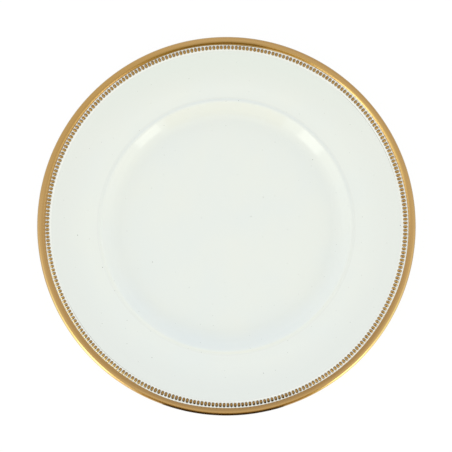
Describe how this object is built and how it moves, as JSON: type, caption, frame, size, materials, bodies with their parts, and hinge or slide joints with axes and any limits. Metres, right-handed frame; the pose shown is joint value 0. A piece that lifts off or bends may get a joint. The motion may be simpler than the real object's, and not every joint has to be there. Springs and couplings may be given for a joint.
{
  "type": "charger plate",
  "caption": "Round glazed china charger plate with a flat well, a raised verge, a wide rim, a row of raised gold beads and a gilded rolled lip.",
  "frame": {"origin": "centre of the foot ring on the table", "axes": "+Z up along the axis of the plate; the plate is round, so +X and +Y are free, and the bead row is set as the picture shows it from above with +Y up"},
  "size_m": [0.305, 0.305, 0.021],
  "materials": {
    "china": "unglazed fired china, fine and matt",
    "glaze": "clear glaze over white china, glossy",
    "gold": "fired and burnished gold, soft gloss with fine streaks round the lip",
    "bead_gold": "gilded beads, bright on top"
  },
  "bodies": {
    "root": {"china_body": "china", "glaze_outer": "glaze", "glaze_inside_foot": "glaze", "gold_band": "gold", "gold_beads": "bead_gold"}
  },
  "joints": []
}
